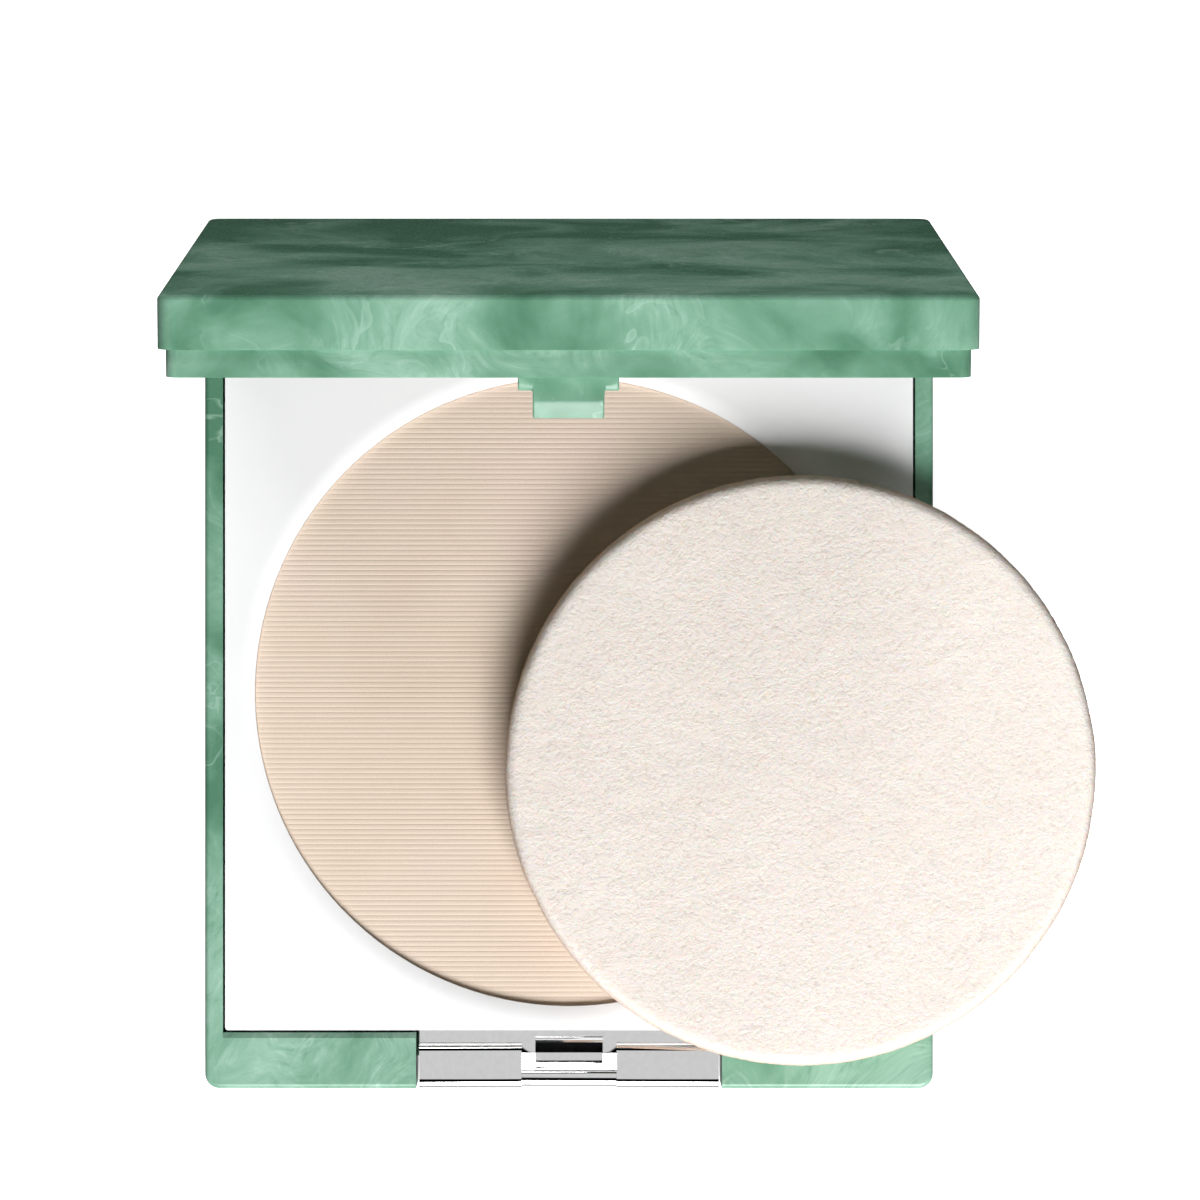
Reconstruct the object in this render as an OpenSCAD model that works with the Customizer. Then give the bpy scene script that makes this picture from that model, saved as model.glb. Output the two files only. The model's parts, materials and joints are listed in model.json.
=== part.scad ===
/* [Base] */
// Width of the compact, left to right
body_w = 69; // [60:0.5:80]
// Depth of the compact, front to back
body_d = 72.3; // [66:0.1:80]
// Height of the base, from its underside to its rim
base_h = 10; // [9.5:0.1:12]
// Radius of the upright corners of base and lid
corner_r = 1.4; // [0.8:0.1:2]
// Rounding along the outer edges
edge_r = 0.5; // [0.2:0.05:0.6]
// Thickness of the base's floor
floor_t = 1.4; // [1.2:0.1:1.6]

/* [Pan] */
// Diameter of the powder that shows
powder_d = 59.6; // [54:0.1:60]
// How far the powder lies below the rim
powder_drop = 1.2; // [0.9:0.1:1.4]
// Width of the white insert
tray_w = 65.2; // [62:0.1:66]
// Gap round the white insert
tray_gap = 0.2; // [0.1:0.05:0.4]
// How far the white insert lies below the rim
tray_drop = 0.4; // [0.3:0.05:0.6]

/* [Lid] */
// Angle the lid is open, from closed
lid_open = 81.2; // [0:0.1:100]
// Height of the lid's outer wall
lid_wall_h = 4.6; // [4:0.1:6]
// Height of the narrower lip below the outer wall
lip_h = 2.4; // [2:0.1:3]
// How far the lip is set in from the outer wall
lip_inset = 0.67; // [0.4:0.01:1]
// Thickness of the mirror
mirror_t = 0.9; // [0.7:0.1:1.2]

/* [Hinge] */
// Distance of the hinge axis from the back face
hinge_back = 2; // [1.9:0.05:2.2]
// Distance of the hinge axis below the rim
hinge_drop = 5.3; // [5:0.1:5.5]
// Length of the lid's hinge barrel
barrel_len = 44; // [30:1:50]
// Diameter of the hinge pins
pin_d = 1.1; // [0.9:0.05:1.15]

/* [Clasp] */
// Width of the chrome push clasp
clasp_w = 28.4; // [24:0.1:32]
// Gap at each end of the clasp
clasp_gap = 0.3; // [0.2:0.05:0.5]
// Travel of the clasp when it is pushed in
clasp_travel = 1.1; // [0.9:0.05:1.15]
// Width of the window that takes the latch tongue
window_w = 6.4; // [6:0.1:7]
// Width of the latch tongue
tongue_w = 6.05; // [5:0.05:6.2]

/* [Sponge] */
// Diameter of the foam sponge
sponge_d = 55.5; // [50:0.5:56]
// Thickness of the foam sponge
sponge_t = 4.6; // [4:0.1:4.7]
// Place of the sponge's centre to the right of the middle
sponge_x = 21.8; // [0:0.1:26]
// Place of the sponge's centre behind the middle
sponge_y = -5.9; // [-8:0.1:2]

/* [Hidden] */
$fn = 96;

// A little extra so that cuts pass right through
eps = 0.5;

// Height of the band that the rounded foot is part of
foot_h = 1;

// Outer faces of the base
front_y = -body_d / 2;
back_y = body_d / 2;

// White insert, its pocket in the base and the round pan
tray_front_y = front_y + 5.5;
tray_back_y = back_y - 2.65;
tray_d = tray_back_y - tray_front_y;
tray_mid_y = (tray_back_y + tray_front_y) / 2;
tray_top = base_h - tray_drop;
tray_t = 0.85;
tray_under = tray_top - tray_t;
tray_skirt_t = 1;
pocket_w = tray_w + 2 * tray_gap;
pocket_front_y = tray_front_y - 0.2;
pocket_back_y = back_y - 3.55;
shelf_back_y = tray_back_y + 0.1;
rim_slope_w = 0.5;
rim_slope_h = 0.3;
ramp_w = 1.7;
ramp_drop = 0.3;
// Radius of an arc that is level at its top and falls ramp_drop over ramp_w
ramp_arc_r = (ramp_w * ramp_w + ramp_drop * ramp_drop) / (2 * ramp_drop);
powder_r = powder_d / 2;
powder_top = base_h - powder_drop;
pan_wall = 0.3;
pan_r = powder_r + 0.6;
pan_floor_z = 4.6;
pan_rim_z = tray_under - 0.05;
seat_out_r = 28;
seat_in_r = 25;
glue_t = 0.15;
glue_inset = 0.4;
label_r = 15;
label_t = 0.1;
label_recess = 0.2;

// Hinge
hinge_y = back_y - hinge_back;
hinge_z = base_h - hinge_drop;
barrel_r = 1.85;
barrel_gap = 0.3;
pin_r = pin_d / 2;
pin_clearance = 0.05;
pin_depth = 4.5;
pin_inner_x = barrel_len / 2 - pin_depth;
pin_outer_x = body_w / 2 - 0.6;
back_rim_drop = 0.5;
hinge_cut_z = 2.2;
web_t = 1.45;

// Lid, as it lies when closed
lip_z = base_h + 0.05;
lid_wall_z = lip_z + lip_h;
lid_top = lid_wall_z + lid_wall_h;
lid_plate_t = 1.2;
lid_wall_t = 1.3;
lid_under = lid_top - lid_plate_t;
pad_t = 0.1;
mirror_z = lid_under - pad_t - mirror_t;
frame_gap = 0.1;
frame_w = body_w - 2 * (lid_wall_t + frame_gap);
frame_d = body_d - 2 * (lid_wall_t + frame_gap);
lip_w = body_w - 2 * lip_inset;
lip_d = body_d - 2 * lip_inset;
lip_t = 1.45;
mirror_play = 0.1;
mirror_w = frame_w - 3;
mirror_d = frame_d - 3.1;
ledge_z = mirror_z - lip_t;
ledge_w = mirror_w - 2.2;
ledge_d = mirror_d - 1.9;

// Clasp: the pads stand above a low strip that slides under the insert
clasp_back_y = tray_front_y + 0.25;
strip_z = tray_under - 0.15;
pad_back_y = tray_front_y - clasp_travel - 0.1;
pad_top = base_h - 0.1;
pad_back_r = 0.8;
// The front edges turn down in a wide arc and then in a tight one
brow_y = front_y + 0.95;
brow_r = 1.6;
brow_turn = 20;
nose_r = 0.6;
nose_y = brow_y - (brow_r - nose_r) * sin(brow_turn);
nose_drop = brow_r - (brow_r - nose_r) * cos(brow_turn);
skirt_y = front_y + 1.2;
skirt_z = 0.5;
// The saddle between the pads and the bar in front of it
notch_w = 9;
notch_back_y = front_y + 3.3;
notch_front_y = front_y + 1.6;
notch_round_r = 0.6;
notch_turn = 14;
bar_top = strip_z - 0.1;
bar_back_r = 0.3;
bridge_w = 10;
// The window, the step in front of it and the catch behind it
window_front_y = front_y + 1.75;
window_back_y = front_y + 4.85;
window_lead = 0.6;
step_front_y = front_y + 2.37;
step_back_y = front_y + 3.12;
step_z = 6;
catch_z = 7.5;
housing_z = floor_t + 0.05;
housing_t = 0.8;
clasp_bottom_z = housing_z + housing_t + 0.1;
through_y = front_y + 2.5;

// Springs behind the clasp
spring_x = 11;
spring_z = 5.2;
spring_r = 1.3;
spring_wire_r = 0.2;
spring_turns = 6;
spring_len = 6.35;
spring_front_y = skirt_y;
spring_back_y = spring_front_y + spring_len;
post_t = 1;
post_w = 3;

// Latch tongue, hanging from a flange that a foot joins to the lip
latch_foot_y = front_y + 1.95;
latch_foot_h = 1.2;
latch_flange_w = 8.55;
latch_flange_z = lip_z - 1.4;
tongue_front_y = front_y + 2.9;
tongue_back_y = front_y + 4.15;
tongue_bend_z = lip_z - 2.15;
tongue_tip_z = lip_z - 3.8;
hook_y = window_back_y;
hook_z = catch_z - 0.1;

// Rectangle with round corners, about the origin
module rounded_rect(w, d, r) {
    square([w - 2 * r, d], center = true);
    square([w, d - 2 * r], center = true);
    for (x = [-1, 1], y = [-1, 1])
        translate([x * (w / 2 - r), y * (d / 2 - r)]) circle(r);
}

// Plate with round corners that stands on the XY plane
module plate(w, d, h, r = 1) {
    linear_extrude(h) rounded_rect(w, d, r);
}

// Plate whose top outer edge is rounded by f
module soft_plate(w, d, h, r, f) {
    plate(w, d, h - f, r);
    plate(w - 2 * f, d - 2 * f, h, r - f);
    for (s = [-1, 1]) {
        translate([0, s * (d / 2 - f), h - f])
            rotate([0, 90, 0]) cylinder(h = w - 2 * r, r = f, center = true);
        translate([s * (w / 2 - f), 0, h - f])
            rotate([90, 0, 0]) cylinder(h = d - 2 * r, r = f, center = true);
    }
    for (x = [-1, 1], y = [-1, 1])
        translate([x * (w / 2 - r), y * (d / 2 - r), h - f])
            rotate_extrude() translate([r - f, 0]) intersection() {
                circle(f);
                translate([0, -f]) square([f, 2 * f]);
            }
}

// Block given by its lowest and highest corners
module block(lo, hi) {
    translate(lo) cube(hi - lo);
}

// Moves what is drawn as closed to the angle the lid stands at
module on_lid() {
    translate([0, hinge_y, hinge_z]) rotate([-lid_open, 0, 0])
        translate([0, -hinge_y, -hinge_z]) children();
}

// Extrudes an outline drawn in Y and Z along X, centred on x = 0
module across(w) {
    rotate([90, 0, 90]) translate([0, 0, -w / 2]) linear_extrude(w) children();
}

// Cylinder on the hinge axis, from x0 to x1
module along_hinge(x0, x1, r) {
    translate([x0, hinge_y, hinge_z]) rotate([0, 90, 0]) cylinder(h = x1 - x0, r = r);
}

// ---- Base ----

// Solid outside of the base, rounded along the rim and the foot
module base_outside() {
    translate([0, 0, foot_h])
        soft_plate(body_w, body_d, base_h - foot_h, corner_r, edge_r);
    translate([0, 0, foot_h])
        mirror([0, 0, 1]) soft_plate(body_w, body_d, foot_h, corner_r, edge_r);
}

module clasp_cutout() {
    half = clasp_w / 2 + clasp_gap;
    block([-half, front_y - eps, floor_t], [half, tray_front_y + eps, base_h + eps]);
    block([-half, front_y - eps, -eps], [half, through_y, base_h + eps]);
}

module hinge_cutout() {
    half = barrel_len / 2 + barrel_gap;
    block([-half, hinge_y - barrel_r - barrel_gap, hinge_cut_z],
          [half, back_y + eps, base_h + eps]);
    block([-body_w, shelf_back_y, base_h - back_rim_drop],
          [body_w, back_y + eps, base_h + eps]);
}

// Cut that lets the front rim fall away towards the insert
module rim_slope() {
    polygon([
        [pocket_front_y + eps, base_h - rim_slope_h], [pocket_front_y, base_h - rim_slope_h],
        [pocket_front_y - rim_slope_w, base_h], [pocket_front_y - rim_slope_w, base_h + eps],
        [pocket_front_y + eps, base_h + eps]
    ]);
}

module base_shell() {
    color("mediumseagreen") difference() {
        union() {
            difference() {
                base_outside();
                block([-pocket_w / 2, pocket_front_y, floor_t],
                      [pocket_w / 2, pocket_back_y, base_h + eps]);
                block([-pocket_w / 2, pocket_front_y, tray_under],
                      [pocket_w / 2, shelf_back_y, base_h + eps]);
                across(pocket_w) rim_slope();
            }
            translate([0, tray_mid_y, floor_t / 2]) difference() {
                cylinder(h = pan_floor_z - glue_t - floor_t / 2, r = seat_out_r);
                cylinder(h = pan_floor_z, r = seat_in_r);
            }
        }
        clasp_cutout();
        hinge_cutout();
        for (side = [-1, 1])
            along_hinge(side > 0 ? barrel_len / 2 : -body_w / 2 - eps,
                        side > 0 ? body_w / 2 + eps : -barrel_len / 2, pin_r);
        translate([0, 0, -eps]) cylinder(h = label_recess + eps, r = label_r + 0.2);
    }
}

module base_label() {
    color("whitesmoke") translate([0, 0, label_recess - label_t])
        cylinder(h = label_t, r = label_r);
}

// White insert: a plate with a rolled ramp down to the powder, on two skirts
module powder_tray() {
    color("white") difference() {
        union() {
            translate([0, tray_mid_y, tray_under]) plate(tray_w, tray_d, tray_t, 0.3);
            for (side = [-1, 1])
                translate([side * (tray_w - tray_skirt_t) / 2, tray_mid_y - 0.5, 0])
                    block([-tray_skirt_t / 2, -tray_d / 2 + 0.6, floor_t],
                          [tray_skirt_t / 2, tray_d / 2 - 0.6, tray_under + 0.1]);
        }
        translate([0, tray_mid_y, 0]) {
            cylinder(h = base_h + eps, r = powder_r);
            rotate_extrude() difference() {
                translate([powder_r - 1, tray_under - 1]) square([ramp_w + 1, tray_t + 2]);
                translate([powder_r + ramp_w, tray_top - ramp_arc_r]) circle(ramp_arc_r);
            }
        }
    }
}

module godet() {
    color("silver") translate([0, tray_mid_y, 0]) difference() {
        translate([0, 0, pan_floor_z]) cylinder(h = pan_rim_z - pan_floor_z, r = pan_r);
        translate([0, 0, pan_floor_z + pan_wall])
            cylinder(h = base_h, r = pan_r - pan_wall);
    }
}

module godet_adhesive() {
    color("gold") translate([0, tray_mid_y, pan_floor_z - glue_t]) difference() {
        cylinder(h = glue_t, r = seat_out_r - glue_inset);
        translate([0, 0, -eps]) cylinder(h = glue_t + 2 * eps, r = seat_in_r + glue_inset);
    }
}

module powder_cake() {
    color("bisque") translate([0, tray_mid_y, pan_floor_z + pan_wall]) {
        cylinder(h = pan_rim_z - pan_floor_z - pan_wall, r = pan_r - pan_wall);
        cylinder(h = powder_top - pan_floor_z - pan_wall, r = powder_r - 0.05);
    }
}

// ---- Clasp ----

module clasp_housing() {
    color("dimgray") {
        block([-clasp_w / 2, through_y + 0.1, housing_z],
              [clasp_w / 2, spring_back_y, housing_z + housing_t]);
        for (side = [-1, 1])
            translate([side * spring_x, spring_back_y, housing_z])
                block([-post_w / 2, 0, 0], [post_w / 2, post_t, tray_under - housing_z - 0.1]);
    }
}

// Front edge seen from the side, turning down from the height top
module brow(top) {
    intersection() {
        translate([brow_y, top - brow_r]) circle(brow_r);
        translate([nose_y - nose_r * sin(brow_turn), top - brow_r])
            square([brow_y - nose_y + nose_r * sin(brow_turn), brow_r]);
    }
    translate([nose_y, top - nose_drop]) circle(nose_r);
    translate([nose_y - nose_r, skirt_z]) square([nose_r, top - nose_drop - skirt_z]);
}

// Outline of the clasp from the side: the strip, a pad and the front wall
module clasp_outline() {
    polygon([
        [clasp_back_y, clasp_bottom_z], [clasp_back_y, strip_z],
        [pad_back_y, strip_z], [pad_back_y, pad_top - pad_back_r],
        [pad_back_y - pad_back_r, pad_top], [brow_y, pad_top],
        [brow_y, pad_top - brow_r], [nose_y, pad_top - brow_r],
        [nose_y, skirt_z], [skirt_y, skirt_z], [skirt_y, clasp_bottom_z]
    ]);
    translate([pad_back_y - pad_back_r, pad_top - pad_back_r]) circle(pad_back_r);
    brow(pad_top);
}

// Room above the saddle and the bar, between the two pads
module notch_outline() {
    difference() {
        translate([front_y - eps, bar_top - brow_r])
            square([pad_back_y - front_y + 2 * eps, pad_top]);
        saddle_outline();
        bar_outline();
    }
}

// Height of the saddle's sloping face at y
function slope_z(y) = strip_z - (notch_back_y - y) * tan(notch_turn);

// Saddle: level behind, rounded over and falling towards the front
module saddle_outline() {
    round_y = notch_back_y + notch_round_r * tan(notch_turn / 2);
    polygon([
        [pad_back_y + 2 * eps, 0], [pad_back_y + 2 * eps, strip_z], [round_y, strip_z],
        [round_y - notch_round_r * sin(notch_turn),
         strip_z - notch_round_r * (1 - cos(notch_turn))],
        [notch_front_y, slope_z(notch_front_y)], [notch_front_y, 0]
    ]);
    intersection() {
        translate([round_y, strip_z - notch_round_r]) circle(notch_round_r);
        translate([round_y - notch_round_r * sin(notch_turn), strip_z - notch_round_r])
            square([notch_round_r * sin(notch_turn), notch_round_r]);
    }
}

// Bar in front of the window
module bar_outline() {
    polygon([
        [brow_y, 0], [brow_y, bar_top], [notch_front_y - bar_back_r, bar_top],
        [notch_front_y, bar_top - bar_back_r], [notch_front_y, 0]
    ]);
    translate([notch_front_y - bar_back_r, bar_top - bar_back_r]) circle(bar_back_r);
    brow(bar_top);
    translate([nose_y, 0]) square([brow_y - nose_y, bar_top - brow_r]);
}

// Window for the tongue, its sloped lead-in, the step in front and the catch behind
module clasp_window() {
    across(window_w) polygon([
        [window_front_y, strip_z - window_lead], [window_front_y, pad_top + eps],
        [window_back_y, pad_top + eps], [window_back_y, strip_z],
        [window_back_y - window_lead, strip_z - window_lead],
        [window_back_y - window_lead, catch_z], [clasp_back_y + eps, catch_z],
        [clasp_back_y + eps, clasp_bottom_z - eps], [step_back_y, clasp_bottom_z - eps],
        [step_back_y, step_z], [step_front_y, step_z]
    ]);
}

module clasp_button() {
    cavity_w = (clasp_w - bridge_w) / 2 - 1;
    color("gainsboro") difference() {
        across(clasp_w) clasp_outline();
        across(notch_w) notch_outline();
        clasp_window();
        for (side = [-1, 1])
            translate([side * (bridge_w + cavity_w) / 2, 0, 0])
                block([-cavity_w / 2, skirt_y, clasp_bottom_z - eps],
                      [cavity_w / 2, clasp_back_y + eps, strip_z - 1]);
    }
}

// Point on the centre line of a spring, t running from 0 to 1
function coil_point(t) = [
    spring_r * cos(360 * spring_turns * t),
    (spring_back_y - spring_front_y - 2 * spring_wire_r) * t,
    spring_r * sin(360 * spring_turns * t)
];

// Ring of points round the wire at t
function coil_ring(t, sides) = [
    for (k = [0:sides - 1])
        let (a = 360 * k / sides, turn = 360 * spring_turns * t)
            coil_point(t) + spring_wire_r * [cos(a) * cos(turn), sin(a), cos(a) * sin(turn)]
];

module coil_spring() {
    sides = 8;
    rings = spring_turns * 14;
    points = [for (n = [0:rings]) each coil_ring(n / rings, sides)];
    walls = [
        for (n = [0:rings - 1], k = [0:sides - 1])
            let (m = (k + 1) % sides)
                [n * sides + k, n * sides + m, (n + 1) * sides + m, (n + 1) * sides + k]
    ];
    first = [for (k = [0:sides - 1]) sides - 1 - k];
    last = [for (k = [0:sides - 1]) rings * sides + k];
    translate([0, spring_front_y + spring_wire_r, spring_z])
        polyhedron(points, concat([first], walls, [last]), convexity = 8);
}

module clasp_spring_left() {
    color("darkgray") translate([-spring_x, 0, 0]) coil_spring();
}

module clasp_spring_right() {
    color("darkgray") translate([spring_x, 0, 0]) coil_spring();
}

// ---- Hinge pins ----

module hinge_pin_left() {
    color("lightsteelblue") along_hinge(-pin_outer_x, -pin_inner_x, pin_r);
}

module hinge_pin_right() {
    color("lightsteelblue") along_hinge(pin_inner_x, pin_outer_x, pin_r);
}

// ---- Lid ----

module lid_shell() {
    color("seagreen") on_lid() translate([0, 0, lid_wall_z]) difference() {
        soft_plate(body_w, body_d, lid_wall_h, corner_r, edge_r);
        translate([0, 0, -eps])
            plate(body_w - 2 * lid_wall_t, body_d - 2 * lid_wall_t,
                  lid_wall_h - lid_plate_t + eps, 0.4);
    }
}

// Inner frame with the inset lip, the mirror's seat and the hinge barrel
module lid_inner_frame() {
    web_back_y = back_y - lip_inset;
    color("mediumseagreen") on_lid() difference() {
        union() {
            translate([0, 0, lip_z]) plate(lip_w, lip_d, lip_h, 1);
            translate([0, 0, lip_z]) plate(frame_w, frame_d, lid_under - lip_z, 0.35);
            block([-barrel_len / 2, web_back_y - web_t, hinge_z],
                  [barrel_len / 2, web_back_y, lip_z + 1]);
            along_hinge(-barrel_len / 2, barrel_len / 2, barrel_r);
        }
        translate([0, 0, lip_z - 0.02])
            plate(lip_w - 2 * lip_t, lip_d - 2 * lip_t, ledge_z - lip_z, 0.4);
        translate([0, 0, lip_z]) plate(ledge_w, ledge_d, lid_top, 0.4);
        translate([0, 0, mirror_z - mirror_play / 2])
            plate(mirror_w + 2 * mirror_play, mirror_d + 2 * mirror_play, lid_top, 0.4);
        for (side = [-1, 1])
            along_hinge(side > 0 ? pin_inner_x - 0.5 : -barrel_len / 2 - eps,
                        side > 0 ? barrel_len / 2 + eps : 0.5 - pin_inner_x,
                        pin_r + pin_clearance);
        translate([-latch_flange_w / 2 - 0.05, latch_foot_y - 0.05, lip_z - eps])
            cube([latch_flange_w + 0.1, tongue_back_y - latch_foot_y + eps, latch_foot_h + eps]);
    }
}

// Flange on a foot set in the frame, with a hooked tongue below it
module latch_tongue() {
    color("mediumseagreen") on_lid() {
        across(latch_flange_w) polygon([
            [latch_foot_y, lip_z], [latch_foot_y, lip_z + latch_foot_h],
            [tongue_back_y, lip_z + latch_foot_h], [tongue_back_y, latch_flange_z],
            [tongue_front_y + 0.25, latch_flange_z], [tongue_front_y, latch_flange_z + 0.6],
            [tongue_front_y, lip_z]
        ]);
        across(tongue_w) polygon([
            [tongue_front_y, lip_z], [tongue_front_y, tongue_bend_z],
            [tongue_front_y + 0.2, tongue_bend_z - 0.6], [tongue_front_y + 0.7, tongue_tip_z],
            [tongue_back_y - 0.1, tongue_tip_z], [hook_y, tongue_tip_z + 0.45],
            [hook_y, hook_z], [tongue_back_y, hook_z], [tongue_back_y, lip_z]
        ]);
    }
}

module mirror_glass() {
    color("lightcyan") on_lid() translate([0, 0, mirror_z])
        plate(mirror_w, mirror_d, mirror_t, 0.3);
}

module mirror_adhesive() {
    color("khaki") on_lid() translate([0, 0, lid_under - pad_t])
        plate(mirror_w - 8, mirror_d - 8, pad_t, 1);
}

// ---- Sponge ----

module sponge() {
    round_r = 1.1;
    color("oldlace") translate([sponge_x, sponge_y, base_h + 0.05]) rotate_extrude() {
        square([sponge_d / 2 - round_r, sponge_t]);
        translate([0, round_r]) square([sponge_d / 2, sponge_t - 2 * round_r]);
        for (z = [round_r, sponge_t - round_r])
            translate([sponge_d / 2 - round_r, z]) circle(round_r);
    }
}

base_shell();
powder_tray();
godet();
godet_adhesive();
powder_cake();
clasp_housing();
clasp_button();
clasp_spring_left();
clasp_spring_right();
hinge_pin_left();
hinge_pin_right();
base_label();
lid_shell();
lid_inner_frame();
latch_tongue();
mirror_glass();  // mirror
mirror_adhesive();
sponge();
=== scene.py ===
"""Looks of an open powder compact: marbled case, white insert, ridged powder, foam sponge, chrome clasp.

Everything is in metres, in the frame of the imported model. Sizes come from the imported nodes' boxes.
"""

import json
import math

import bmesh
import bpy
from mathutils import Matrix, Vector, noise

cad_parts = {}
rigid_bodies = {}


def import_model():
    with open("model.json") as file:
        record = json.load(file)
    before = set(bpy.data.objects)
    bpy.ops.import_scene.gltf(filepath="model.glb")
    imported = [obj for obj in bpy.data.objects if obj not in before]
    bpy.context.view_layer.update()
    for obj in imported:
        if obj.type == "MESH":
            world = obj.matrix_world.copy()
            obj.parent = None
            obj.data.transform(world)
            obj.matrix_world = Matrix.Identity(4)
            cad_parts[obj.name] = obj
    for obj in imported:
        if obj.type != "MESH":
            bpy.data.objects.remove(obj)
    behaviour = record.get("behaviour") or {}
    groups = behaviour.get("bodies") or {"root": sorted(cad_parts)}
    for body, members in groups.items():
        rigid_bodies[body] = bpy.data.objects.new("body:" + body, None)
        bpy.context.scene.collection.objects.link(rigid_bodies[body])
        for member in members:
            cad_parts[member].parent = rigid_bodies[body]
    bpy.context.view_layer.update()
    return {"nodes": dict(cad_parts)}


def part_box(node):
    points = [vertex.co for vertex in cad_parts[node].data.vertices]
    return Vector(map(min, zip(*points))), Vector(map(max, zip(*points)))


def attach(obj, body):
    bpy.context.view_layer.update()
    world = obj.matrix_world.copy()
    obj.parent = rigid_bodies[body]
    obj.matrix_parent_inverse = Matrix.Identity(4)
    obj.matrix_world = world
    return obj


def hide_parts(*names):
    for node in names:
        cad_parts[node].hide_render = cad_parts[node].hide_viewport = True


MM = 0.001

for leftover in list(bpy.data.objects):
    bpy.data.objects.remove(leftover)

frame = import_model()
nodes = frame["nodes"]


# ---- Helpers for node materials ----

def new_material(name):
    """A material with an empty tree and a Principled shader on its output."""
    material = bpy.data.materials.new(name)
    material.use_nodes = True
    tree = material.node_tree
    tree.nodes.clear()
    output = tree.nodes.new("ShaderNodeOutputMaterial")
    shader = tree.nodes.new("ShaderNodeBsdfPrincipled")
    tree.links.new(shader.outputs[0], output.inputs[0])
    return material, tree, shader


def add(tree, kind, **inputs):
    """Adds a node; keys that name an input set or link it, the others set a property."""
    node = tree.nodes.new("ShaderNode" + kind)
    for key, value in inputs.items():
        if not key[0].isupper():
            setattr(node, key, value)
    for key, value in inputs.items():
        if key[0].isupper():
            socket = node.inputs[key.replace("_", " ")]
            plug(tree, socket, value)
    return node


def plug(tree, socket, value):
    """Links a socket if value is a socket, or else sets it."""
    if isinstance(value, bpy.types.NodeSocket):
        tree.links.new(value, socket)
    else:
        socket.default_value = value


def place(tree, scale=(1, 1, 1), turn=(0, 0, 0), shift=(0, 0, 0)):
    """Object coordinates in millimetres, scaled, turned and shifted."""
    coordinates = tree.nodes.new("ShaderNodeTexCoord").outputs["Object"]
    mapping = tree.nodes.new("ShaderNodeMapping")
    mapping.inputs["Scale"].default_value = [1000 * s for s in scale]
    mapping.inputs["Rotation"].default_value = turn
    mapping.inputs["Location"].default_value = shift
    tree.links.new(coordinates, mapping.inputs["Vector"])
    return mapping.outputs[0]


def noise_at(tree, where, scale, detail=4.0, roughness=0.55):
    """Value and colour of a noise with the given cells per millimetre."""
    node = add(tree, "TexNoise", Vector=where, Scale=scale, Detail=detail, Roughness=roughness)
    return node.outputs["Fac"], node.outputs["Color"]


def ramp(tree, factor, *stops):
    """Colour ramp with (position, colour) stops; a colour may be one grey value."""
    node = tree.nodes.new("ShaderNodeValToRGB")
    elements = node.color_ramp.elements
    while len(elements) < len(stops):
        elements.new(0.5)
    for element, (position, colour) in zip(elements, stops):
        element.position = position
        grey = isinstance(colour, (int, float))
        element.color = (colour, colour, colour, 1) if grey else (*colour, 1)
    tree.links.new(factor, node.inputs[0])
    return node.outputs[0]


def mix(tree, factor, a, b, blend_type="MIX"):
    node = tree.nodes.new("ShaderNodeMix")
    node.data_type = "RGBA"
    node.blend_type = blend_type
    plug(tree, node.inputs[0], factor)
    for socket, value in ((node.inputs[6], a), (node.inputs[7], b)):
        if isinstance(value, tuple):
            value = (*value, 1)
        plug(tree, socket, value)
    return node.outputs[2]


def bump(tree, shader, height, strength, distance):
    node = add(tree, "Bump", Height=height, Strength=strength, Distance=distance)
    tree.links.new(node.outputs[0], shader.inputs["Normal"])


def roughness_between(tree, shader, factor, low, high):
    node = add(tree, "MapRange", Value=factor)
    node.inputs["To Min"].default_value = low
    node.inputs["To Max"].default_value = high
    tree.links.new(node.outputs[0], shader.inputs["Roughness"])


def plus(tree, a, b):
    node = add(tree, "Math", operation="ADD")
    plug(tree, node.inputs[0], a)
    plug(tree, node.inputs[1], b)
    return node.outputs[0]


def between(tree, value, from_low, from_high, to_low, to_high):
    node = add(tree, "MapRange", Value=value)
    for socket, limit in zip(list(node.inputs)[1:5], (from_low, from_high, to_low, to_high)):
        socket.default_value = limit
    return node.outputs[0]


def pushed(tree, where, scale, reach):
    """Moves a position by a soft noise of up to the given reach."""
    _, flow = noise_at(tree, where, scale, 2, 0.5)
    moved = add(tree, "VectorMath", operation="MULTIPLY_ADD")
    tree.links.new(flow, moved.inputs[0])
    moved.inputs[1].default_value = (reach, reach, reach)
    tree.links.new(where, moved.inputs[2])
    return moved.outputs[0]


# ---- Materials ----

GREEN_DARK = (0.082, 0.215, 0.132)
GREEN_MID = (0.145, 0.315, 0.212)
GREEN_LIGHT = (0.205, 0.395, 0.282)
GREEN_PALE = (0.290, 0.490, 0.375)
GREEN_WISP = (0.420, 0.620, 0.510)


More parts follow.
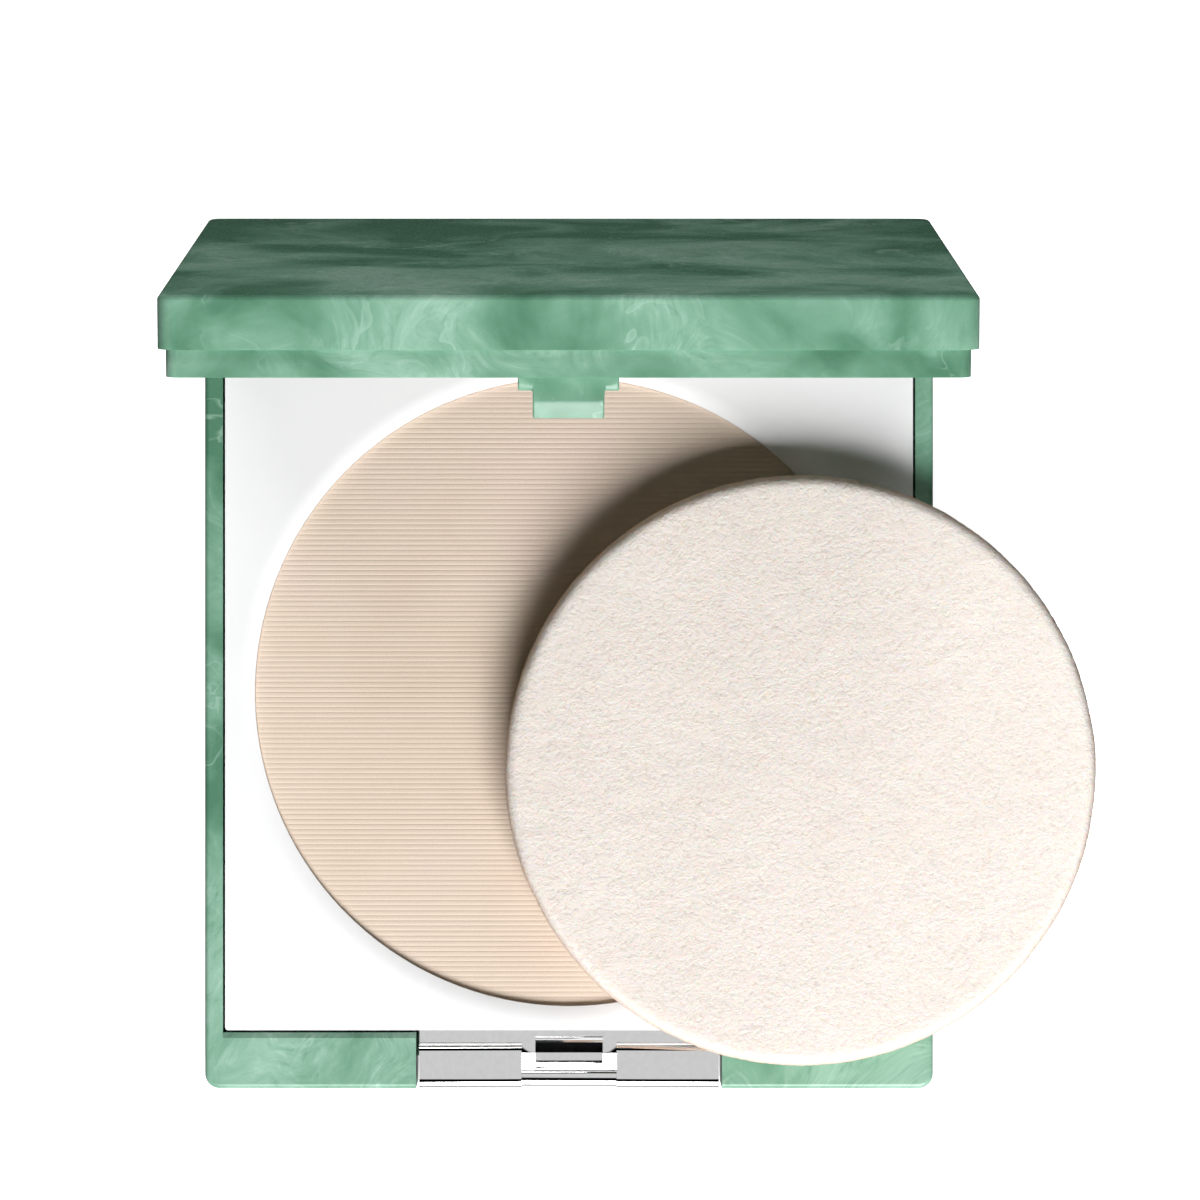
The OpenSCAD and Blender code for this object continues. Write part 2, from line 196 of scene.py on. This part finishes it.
def marble(name, turn, shift, painted_front_light=0.0, lightened_point=None):
    """Glossy green plastic with milky veils and the fine threads that the flow of the melt drew out.
    Optionally, painted light makes it lighter towards the front, and the veils are raised round one
    point.
    """
    material, tree, shader = new_material(name)
    where = place(tree, (1, 1, 1), turn, shift)
    melt = pushed(tree, pushed(tree, where, 0.028, 36), 0.085, 8)

    veil = noise_at(tree, melt, 0.062, 4, 0.52)[0]
    # Painted light: the veils grow denser towards the front (-Y), so the case is painted lighter at the
    # front, where the key lamp falls more strongly.
    if painted_front_light:
        depth = add(tree, "SeparateXYZ", Vector=place(tree)).outputs[1]
        veil = plus(tree, veil, between(tree, depth, 10, -36, -0.4 * painted_front_light, painted_front_light))
    # The veils are raised within about 14 mm of this point and lowered beyond about 58 mm, so the marble
    # is lighter near it and darker far from it.
    if lightened_point:
        spot = add(tree, "VectorMath", operation="DISTANCE")
        tree.links.new(place(tree), spot.inputs[0])
        spot.inputs[1].default_value = lightened_point
        veil = plus(tree, veil, between(tree, spot.outputs["Value"], 58, 14, -0.05, 0.05))
    colour = ramp(tree, veil, (0.40, GREEN_DARK), (0.48, GREEN_MID), (0.55, GREEN_LIGHT),
                  (0.68, GREEN_PALE))

    _, stream = noise_at(tree, melt, 0.040, 1, 0.5)
    drawn = add(tree, "VectorMath", operation="MULTIPLY")
    tree.links.new(stream, drawn.inputs[0])
    drawn.inputs[1].default_value = (105, 34, 34)
    threads, _ = noise_at(tree, drawn.outputs[0], 1.0, 3, 0.6)
    thread_mask = ramp(tree, threads, (0.50, 0.0), (0.62, 0.25), (0.76, 0.75))
    crease_mask = ramp(tree, threads, (0.26, 0.5), (0.46, 0.0))
    in_veil = ramp(tree, veil, (0.46, 0.03), (0.53, 0.35), (0.60, 1.0))
    colour = mix(tree, mix(tree, 1.0, crease_mask, in_veil, "MULTIPLY"), colour, GREEN_DARK)
    colour = mix(tree, mix(tree, 1.0, thread_mask, in_veil, "MULTIPLY"), colour, GREEN_WISP)
    hair, _ = noise_at(tree, pushed(tree, melt, 0.13, 9), 0.13, 3, 0.5)
    hair_mask = ramp(tree, hair, (0.470, 0.0), (0.500, 0.55), (0.506, 0.0))
    some, _ = noise_at(tree, melt, 0.11, 2, 0.5)
    hair_here = ramp(tree, some, (0.50, 0.0), (0.64, 0.8))
    colour = mix(tree, mix(tree, 1.0, hair_mask, hair_here, "MULTIPLY"), colour, GREEN_WISP)
    tree.links.new(colour, shader.inputs["Base Color"])

    smudge, _ = noise_at(tree, where, 0.25, 3, 0.6)
    roughness_between(tree, shader, smudge, 0.22, 0.32)
    shader.inputs["IOR"].default_value = 1.49
    shader.inputs["Specular IOR Level"].default_value = 0.32
    shader.inputs["Subsurface Weight"].default_value = 0.10
    shader.inputs["Subsurface Radius"].default_value = (0.6, 1.0, 0.7)
    shader.inputs["Subsurface Scale"].default_value = 0.001
    ripple, _ = noise_at(tree, where, 0.5, 2, 0.5)
    bump(tree, shader, ripple, 0.04, 0.0002)
    return material


def white_plastic():
    material, tree, shader = new_material("white_insert")
    where = place(tree)
    tone, _ = noise_at(tree, where, 0.05, 2)
    colour = ramp(tree, tone, (0.3, (0.865, 0.865, 0.872)), (0.7, (0.90, 0.90, 0.905)))
    tree.links.new(colour, shader.inputs["Base Color"])
    fine, _ = noise_at(tree, where, 3.0, 3)
    roughness_between(tree, shader, fine, 0.34, 0.46)
    bump(tree, shader, fine, 0.04, 0.00005)
    shader.inputs["Subsurface Weight"].default_value = 0.08
    shader.inputs["Subsurface Radius"].default_value = (1, 1, 1)
    shader.inputs["Subsurface Scale"].default_value = 0.0006
    return material


def powder_material():
    material, tree, shader = new_material("pressed_powder")
    where = place(tree)
    patches, _ = noise_at(tree, where, 0.06, 3)
    colour = ramp(tree, patches, (0.3, (0.745, 0.605, 0.490)), (0.5, (0.770, 0.640, 0.525)),
                  (0.7, (0.780, 0.630, 0.540)))
    grains, _ = noise_at(tree, where, 9.0, 4, 0.7)
    grain_tone = ramp(tree, grains, (0.3, 0.86), (0.7, 1.0))
    colour = mix(tree, 1.0, colour, grain_tone, "MULTIPLY")
    tree.links.new(colour, shader.inputs["Base Color"])
    roughness_between(tree, shader, grains, 0.82, 0.95)
    shader.inputs["Sheen Weight"].default_value = 0.08
    shader.inputs["Sheen Roughness"].default_value = 0.5
    shader.inputs["Specular IOR Level"].default_value = 0.25
    bump(tree, shader, grains, 0.35, 0.00006)
    return material


def foam_material():
    """Fine latex foam: crowded soft cells that dent and shade the skin, a few yellowish ones, and
    painted shade that darkens and browns the sides.
    """
    material, tree, shader = new_material("latex_foam")
    where = place(tree)
    cells, _ = noise_at(tree, where, 2.3, 3, 0.62)
    fine, _ = noise_at(tree, where, 5.5, 2, 0.5)
    patch, _ = noise_at(tree, where, 0.09, 3)
    skin = ramp(tree, patch, (0.3, (0.838, 0.768, 0.715)), (0.7, (0.872, 0.802, 0.748)))
    shade = ramp(tree, cells, (0.28, (0.86, 0.84, 0.81)), (0.44, 0.975), (0.62, 1.0))
    colour = mix(tree, 1.0, skin, shade, "MULTIPLY")
    tint, _ = noise_at(tree, where, 0.55, 3)
    colour = mix(tree, 1.0, colour, ramp(tree, tint, (0.64, 1.0), (0.76, (1.0, 0.975, 0.90))),
                 "MULTIPLY")
    # Painted shade: the less a face points up or down, the darker and browner it is painted, all round
    # the sides.
    normal = tree.nodes.new("ShaderNodeTexCoord").outputs["Normal"]
    upright = add(tree, "Math", operation="ABSOLUTE")
    tree.links.new(add(tree, "SeparateXYZ", Vector=normal).outputs[2], upright.inputs[0])
    painted_side_shade = ramp(tree, upright.outputs[0], (0.15, (0.76, 0.63, 0.52)), (0.82, 1.0))
    colour = mix(tree, 1.0, colour, painted_side_shade, "MULTIPLY")
    tree.links.new(colour, shader.inputs["Base Color"])
    roughness_between(tree, shader, cells, 0.85, 0.97)
    shader.inputs["Specular IOR Level"].default_value = 0.15
    shader.inputs["Subsurface Weight"].default_value = 0.3
    shader.inputs["Subsurface Radius"].default_value = (1.0, 0.45, 0.25)
    shader.inputs["Subsurface Scale"].default_value = 0.002
    bump(tree, shader, mix(tree, 0.35, cells, fine), 0.8, 0.00022)
    return material


def metal(name, colour, low, high, grain=(1, 1, 1), scale=2.0, dent=0.03):
    """Bare metal whose roughness and tone follow a grain that may be drawn out along one way."""
    material, tree, shader = new_material(name)
    where = place(tree, grain)
    streak, _ = noise_at(tree, where, scale, 4, 0.6)
    tone = ramp(tree, streak, (0.3, tuple(0.94 * c for c in colour)), (0.7, colour))
    tree.links.new(tone, shader.inputs["Base Color"])
    roughness_between(tree, shader, streak, low, high)
    shader.inputs["Metallic"].default_value = 1.0
    bump(tree, shader, streak, dent, 0.00003)
    return material


def plain_plastic(name, low, high, rough, scale=1.2, dent=0.15):
    """Dull moulded plastic, paper or glue: a fine grain in tone, gloss and surface."""
    material, tree, shader = new_material(name)
    where = place(tree)
    grain, _ = noise_at(tree, where, scale, 5, 0.65)
    tree.links.new(ramp(tree, grain, (0.3, low), (0.7, high)), shader.inputs["Base Color"])
    roughness_between(tree, shader, grain, rough - 0.08, rough + 0.08)
    bump(tree, shader, grain, dent, 0.00004)
    return material


def assign(material, *names):
    for name in names:
        nodes[name].data.materials.clear()
        nodes[name].data.materials.append(material)


# ---- Small radii on the moulded and plated edges ----

def soften(name, width, segments=3, angle=30):
    """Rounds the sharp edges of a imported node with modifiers, and leaves its mesh as it is."""
    node = nodes[name]
    weld = node.modifiers.new("weld", "WELD")
    weld.merge_threshold = 0.000002
    bevel = node.modifiers.new("edge radius", "BEVEL")
    bevel.width = width
    bevel.segments = segments
    bevel.limit_method = "ANGLE"
    bevel.angle_limit = math.radians(angle)
    bevel.miter_outer = "MITER_ARC"
    bevel.use_clamp_overlap = True
    normals = node.modifiers.new("face normals", "WEIGHTED_NORMAL")
    normals.keep_sharp = False
    normals.weight = 100


# ---- Pieces made here ----

def mesh_object(name, mesh_bm, material, smooth=True):
    mesh = bpy.data.meshes.new(name)
    bmesh.ops.recalc_face_normals(mesh_bm, faces=mesh_bm.faces)
    mesh_bm.to_mesh(mesh)
    mesh_bm.free()
    for polygon in mesh.polygons:
        polygon.use_smooth = smooth
    obj = bpy.data.objects.new(name, mesh)
    bpy.context.scene.collection.objects.link(obj)
    mesh.materials.append(material)
    return obj


def lathe(name, profile, centre, material, steps=256, wobble=None):
    """Turns a closed profile of (radius, height) points round a vertical axis."""
    bm = bmesh.new()
    rings = []
    for radius, height in profile:
        if radius < 1e-7:
            rings.append([bm.verts.new((centre.x, centre.y, height))])
            continue
        ring = []
        for k in range(steps):
            a = 2 * math.pi * k / steps
            point = Vector((centre.x + radius * math.cos(a), centre.y + radius * math.sin(a), height))
            ring.append(bm.verts.new(wobble(point) if wobble else point))
        rings.append(ring)
    for one, two in zip(rings, rings[1:]):
        for k in range(steps):
            m = (k + 1) % steps
            corners = [one[k % len(one)], one[m % len(one)], two[m % len(two)], two[k % len(two)]]
            unique = [v for i, v in enumerate(corners) if v not in corners[:i]]
            if len(unique) > 2:
                bm.faces.new(unique)
    return mesh_object(name, bm, material)


RIDGE_PITCH = 0.482 * MM
RIDGE_HEIGHT = 0.042 * MM
RIDGE_ROWS = 8
CAKE_RADIUS = 29.795 * MM
CAKE_SHOULDER = 0.12 * MM
CAKE_EDGE_DROP = 0.03 * MM
CAKE_COLUMNS = 40


def ridged_powder(material):
    """Pressed powder: fine ridges along X that fade out at the rounded shoulder, on a plain drum."""
    low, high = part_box("powder_cake")
    centre = (low + high) / 2
    radius = CAKE_RADIUS
    top = high.z - RIDGE_HEIGHT
    columns = CAKE_COLUMNS
    rows = int(2 * radius / RIDGE_PITCH) * RIDGE_ROWS
    bm = bmesh.new()
    grid = []
    for i in range(rows + 1):
        y = radius * (-1 + 2 * i / rows)
        half = math.sqrt(max(radius * radius - y * y, (0.2 * MM) ** 2))
        row = []
        for j in range(columns + 1):
            u = -1 + 2 * j / columns
            x = half * math.sin(u * math.pi / 2)
            edge = radius - math.hypot(x, y)
            fade = min(1.0, max(0.0, edge / CAKE_SHOULDER))
            fade = fade * fade * (3 - 2 * fade)
            wave = 1 - (1 - abs(math.sin(math.pi * y / RIDGE_PITCH))) ** 2.4
            lump = noise.noise(Vector((x, y, 0)) / (6 * MM)) * 0.02 * MM
            z = top + RIDGE_HEIGHT * wave * fade - CAKE_EDGE_DROP * (1 - fade) + lump * fade
            row.append(bm.verts.new((centre.x + x, centre.y + y, z)))
        grid.append(row)
    for a, b in zip(grid, grid[1:]):
        for j in range(columns):
            bm.faces.new((a[j], a[j + 1], b[j + 1], b[j]))
    rim = [e for e in bm.edges if e.is_boundary]
    wall = bmesh.ops.extrude_edge_only(bm, edges=rim)
    lower = [v for v in wall["geom"] if isinstance(v, bmesh.types.BMVert)]
    for vertex in lower:
        vertex.co.z = low.z + 0.02 * MM
    bottom = [e for e in bm.edges if e.is_boundary]
    bmesh.ops.holes_fill(bm, edges=bottom, sides=0)
    bmesh.ops.remove_doubles(bm, verts=bm.verts, dist=1e-7)
    return mesh_object("powder", bm, material)


SPONGE_CORNER = 1.15 * MM
SPONGE_RIM_ALLOWANCE = 0.08 * MM
SPONGE_FACE_RINGS = 46
SPONGE_CORNER_STEPS = 8
SPONGE_STEPS = 600


def foam_sponge(material):
    """Round foam sponge: cut sides, faces with slight random dips and a soft uneven rim."""
    low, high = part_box("sponge")
    centre = (low + high) / 2
    radius = (high.x - low.x) / 2 + SPONGE_RIM_ALLOWANCE
    corner = SPONGE_CORNER
    face_rings = SPONGE_FACE_RINGS
    profile = []
    for i in range(face_rings):
        profile.append(((radius - corner) * i / face_rings, low.z))
    for i in range(SPONGE_CORNER_STEPS + 1):
        a = -math.pi / 2 + math.pi / 2 * i / SPONGE_CORNER_STEPS
        profile.append((radius - corner + corner * math.cos(a), low.z + corner + corner * math.sin(a)))
    for i in range(SPONGE_CORNER_STEPS + 1):
        a = math.pi / 2 * i / SPONGE_CORNER_STEPS
        profile.append((radius - corner + corner * math.cos(a),
                        high.z - corner + corner * math.sin(a)))
    for i in range(face_rings - 1, -1, -1):
        profile.append(((radius - corner) * i / face_rings, high.z))

    def uneven(point):
        rim = noise.noise(point / (4.0 * MM)) * 0.10 * MM
        fine = noise.noise(point / (0.5 * MM)) * 0.11 * MM
        out = Vector((point.x - centre.x, point.y - centre.y, 0))
        share = min(1.0, out.length / radius)
        out = out.normalized() * (-abs(rim) - abs(fine)) * share ** 6
        dip = -abs(noise.noise(point / (2.2 * MM) + Vector((7, 3, 1)))) * 0.07 * MM
        if point.z < centre.z:
            dip = -dip * 0.3
        return point + out + Vector((0, 0, dip))

    return lathe("foam_sponge", profile, centre, material, SPONGE_STEPS, uneven)


marbled_base = marble("marbled_base", (0.1, 0.2, 0.5), (3, 11, 5), painted_front_light=0.045)
marbled_lid = marble("marbled_lid", (0.3, 0.1, 0.15), (130, 15, -90), lightened_point=(-6, 38, 76))
marbled_frame = marble("marbled_frame", (0.2, 0.5, 0.9), (17, 29, 3), lightened_point=(-6, 34, 74))

assign(marbled_base, "base_shell")
assign(marbled_lid, "lid_shell")
assign(marbled_frame, "lid_inner_frame", "latch_tongue")
assign(white_plastic(), "powder_tray")
assign(metal("clasp_chrome", (0.86, 0.86, 0.86), 0.03, 0.07, scale=1.5), "clasp_button")
assign(metal("pan_aluminium", (0.86, 0.86, 0.87), 0.22, 0.34, (1, 1, 8), 1.5), "godet")
assign(metal("hinge_steel", (0.62, 0.61, 0.60), 0.2, 0.32, (6, 1, 1), 2.0),
       "hinge_pin_left", "hinge_pin_right")
assign(metal("spring_wire", (0.58, 0.57, 0.55), 0.25, 0.4, (1, 1, 1), 3.0),
       "clasp_spring_left", "clasp_spring_right")
assign(metal("mirror_silver", (0.93, 0.94, 0.94), 0.0, 0.02, scale=0.15, dent=0.0), "mirror")
assign(plain_plastic("clasp_black", (0.012, 0.012, 0.013), (0.03, 0.03, 0.032), 0.5),
       "clasp_housing")
assign(plain_plastic("glue", (0.55, 0.50, 0.36), (0.70, 0.66, 0.52), 0.45, 0.8),
       "godet_adhesive", "mirror_adhesive")
assign(plain_plastic("label_paper", (0.78, 0.79, 0.77), (0.86, 0.87, 0.85), 0.6, 2.5),
       "base_label")

for name, width in (("base_shell", 0.16), ("lid_shell", 0.28), ("lid_inner_frame", 0.14),
                    ("latch_tongue", 0.16), ("clasp_button", 0.07), ("powder_tray", 0.08),
                    ("clasp_housing", 0.1), ("mirror", 0.08)):
    soften(name, width * MM)

powder = ridged_powder(powder_material())
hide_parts("powder_cake")
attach(powder, "base")

sponge = foam_sponge(foam_material())
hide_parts("sponge")
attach(sponge, "sponge")


# ---- Stage ----

def floor():
    """A plain white floor that the camera sees, and that throws no light back at the object."""
    bpy.ops.mesh.primitive_plane_add(size=4, location=(0, 0, -0.0002))
    plane = bpy.context.object
    plane.name = "floor"
    material, tree, shader = new_material("pale_floor")
    shader.inputs["Base Color"].default_value = (0.8, 0.8, 0.8, 1)
    shader.inputs["Roughness"].default_value = 0.9
    shader.inputs["Emission Color"].default_value = (1, 1, 1, 1)
    shader.inputs["Emission Strength"].default_value = 0.9
    plane.data.materials.append(material)
    plane.visible_diffuse = False
    plane.visible_glossy = False


def softbox(name, azimuth, elevation, distance, size, power):
    """An area lamp that looks at the object; azimuth 0 is in front of it, 90 on its right."""
    data = bpy.data.lights.new(name, "AREA")
    data.shape = "RECTANGLE"
    data.size, data.size_y = size
    data.energy = power
    lamp = bpy.data.objects.new(name, data)
    bpy.context.scene.collection.objects.link(lamp)
    turn, lift = math.radians(azimuth), math.radians(elevation)
    target = Vector((0, 0, 0.01))
    direction = Vector((math.sin(turn) * math.cos(lift), -math.cos(turn) * math.cos(lift),
                        math.sin(lift)))
    lamp.location = target + direction * distance
    lamp.rotation_euler = (-direction).to_track_quat("-Z", "Y").to_euler()
    return lamp


def world():
    """White to look at, dim as a fill; gloss sees a grey roof, and bands of white and black in front."""
    studio = bpy.data.worlds.new("studio")
    studio.use_nodes = True
    tree = studio.node_tree
    background = tree.nodes["Background"]
    background.inputs[1].default_value = 1.0
    path = tree.nodes.new("ShaderNodeLightPath")
    direction = tree.nodes.new("ShaderNodeTexCoord").outputs["Generated"]
    split = tree.nodes.new("ShaderNodeSeparateXYZ")
    tree.links.new(direction, split.inputs[0])
    height = add(tree, "MapRange", Value=split.outputs[2])
    height.inputs["From Min"].default_value = -1
    front = ramp(tree, height.outputs[0], (0.0, 0.9), (0.46, 0.95), (0.48, 0.06), (0.69, 0.06),
                 (0.72, 1.0), (0.926, 1.0), (0.931, 0.0), (0.9940, 0.0), (0.9958, ROOF_GREY))
    back = ramp(tree, height.outputs[0], (0.0, 0.03), (0.9940, 0.0), (0.9958, ROOF_GREY))
    behind = add(tree, "MapRange", Value=split.outputs[1])
    behind.inputs["From Min"].default_value = -0.15
    behind.inputs["From Max"].default_value = 0.05
    gloss = mix(tree, behind.outputs[0], front, back)
    fill = mix(tree, path.outputs["Is Glossy Ray"], FILL, gloss)
    seen = mix(tree, path.outputs["Is Camera Ray"], fill, (1.0, 1.0, 1.0))
    tree.links.new(seen, background.inputs[0])
    bpy.context.scene.world = studio


RIM_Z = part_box("base_shell")[1].z
CAMERA_XY = Vector((0.40 * MM, 10.14 * MM))
CAMERA_ABOVE_RIM = 562 * MM
VIEW_WIDTH_AT_RIM = 113.67 * MM
CAMERA_SHIFT_X = 0.0223
ROOF_GREY = 0.71
FILL = (0.012, 0.012, 0.013)


def camera():
    data = bpy.data.cameras.new("camera")
    data.sensor_width = 36
    data.lens = data.sensor_width * CAMERA_ABOVE_RIM / VIEW_WIDTH_AT_RIM
    data.shift_x = CAMERA_SHIFT_X
    data.clip_start = 0.01
    view = bpy.data.objects.new("camera", data)
    bpy.context.scene.collection.objects.link(view)
    view.location = (CAMERA_XY.x, CAMERA_XY.y, RIM_Z + CAMERA_ABOVE_RIM)
    bpy.context.scene.camera = view


floor()
softbox("key", 13, 42, 0.50, (0.29, 0.30), 4.2)
softbox("back", 185, 35, 0.35, (0.3, 0.2), 0.68).visible_glossy = False
world()
camera()
nodes["mirror"].visible_diffuse = False
bpy.context.scene.view_settings.view_transform = "Standard"
